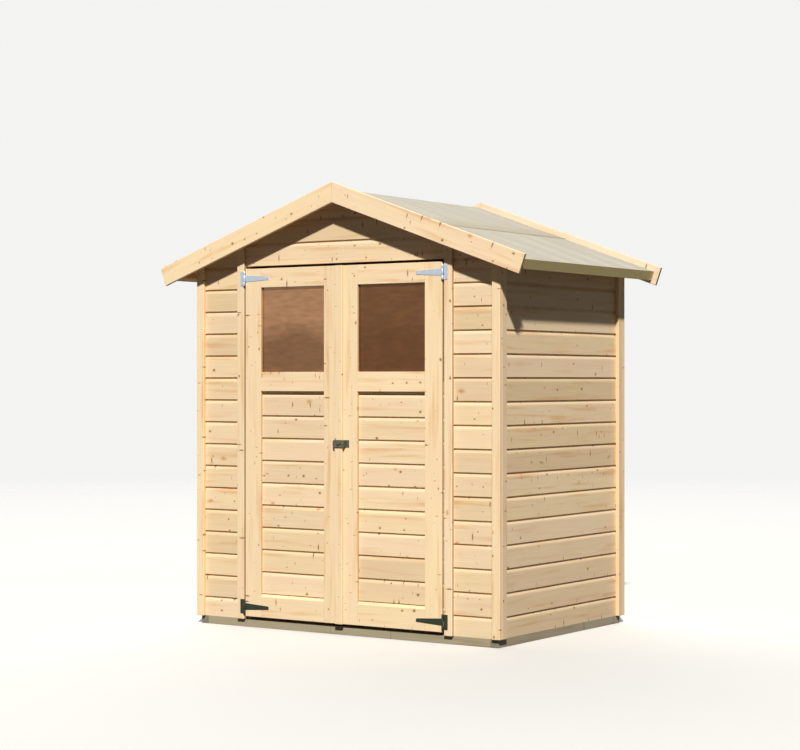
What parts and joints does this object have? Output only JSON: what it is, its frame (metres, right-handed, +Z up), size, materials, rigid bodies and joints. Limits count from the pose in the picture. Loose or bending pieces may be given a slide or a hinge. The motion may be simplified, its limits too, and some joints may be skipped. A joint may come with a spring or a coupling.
{
  "type": "garden shed",
  "caption": "Small gabled timber garden shed with horizontal profiled boards, felt roof, bargeboards and a pair of glazed, framed door leaves on T-hinges closed by a hasp.",
  "frame": {"origin": "on the ground, below the middle of the roof", "axes": "+X to the right seen from the doors, +Y from the doors to the back, +Z up"},
  "size_m": [2.1732, 1.39, 2.2112],
  "materials": {
    "spruce": "natural planed",
    "impregnated_timber": "pressure impregnated",
    "roof_felt": "mineral surfaced bitumen felt",
    "tinted_acrylic": "brown tinted, clear",
    "hinge_steel": "zinc plated",
    "hasp_steel": "dark olive chromated"
  },
  "bodies": {
    "shed": {"base_side_beams": "impregnated_timber", "base_cross_beams": "impregnated_timber", "floor_joists": "impregnated_timber", "floor": "spruce", "front_wall_left": "spruce", "front_wall_right": "spruce", "left_wall": "spruce", "right_wall": "spruce", "back_wall": "spruce", "front_gable": "spruce", "back_gable": "spruce", "wall_posts": "spruce", "side_wall_plates": "spruce", "gable_rails": "spruce", "ridge_beam": "spruce", "front_corner_trims": "spruce", "back_corner_trims": "spruce", "side_corner_trims": "spruce", "door_jamb_trims": "spruce", "roof_deck_left": "spruce", "roof_deck_right": "spruce", "eaves_battens": "spruce", "roof_felt_left": "roof_felt", "roof_felt_right": "roof_felt", "roof_felt_ridge": "roof_felt", "front_bargeboard_left": "spruce", "front_bargeboard_right": "spruce", "back_bargeboard_left": "spruce", "back_bargeboard_right": "spruce", "hinge_jamb_plates": "hinge_steel"},
    "left_door": {"left_door_stiles": "spruce", "left_door_rails": "spruce", "left_door_boards": "spruce", "left_door_pane": "tinted_acrylic", "left_door_beads": "spruce", "left_door_hinge_straps": "hinge_steel", "door_cover_strip": "spruce", "hasp_staple": "hasp_steel"},
    "right_door": {"right_door_stiles": "spruce", "right_door_rails": "spruce", "right_door_boards": "spruce", "right_door_pane": "tinted_acrylic", "right_door_beads": "spruce", "right_door_hinge_straps": "hinge_steel", "hasp_plate": "hasp_steel"},
    "hasp": {"hasp_strap": "hasp_steel"}
  },
  "joints": [
    {"name": "left_door_swing", "type": "hinge", "parent": "shed", "child": "left_door", "pos_m": [-0.595, -0.624, 0.931], "axis": [0, 0, -1], "range_deg": [0, 150]},
    {"name": "right_door_swing", "type": "hinge", "parent": "shed", "child": "right_door", "pos_m": [0.595, -0.624, 0.931], "axis": [0, 0, 1], "range_deg": [0, 150]},
    {"name": "hasp_swing", "type": "hinge", "parent": "right_door", "child": "hasp", "pos_m": [0.028, -0.639, 0.936], "axis": [0, 0, 1], "range_deg": [0, 170]}
  ]
}
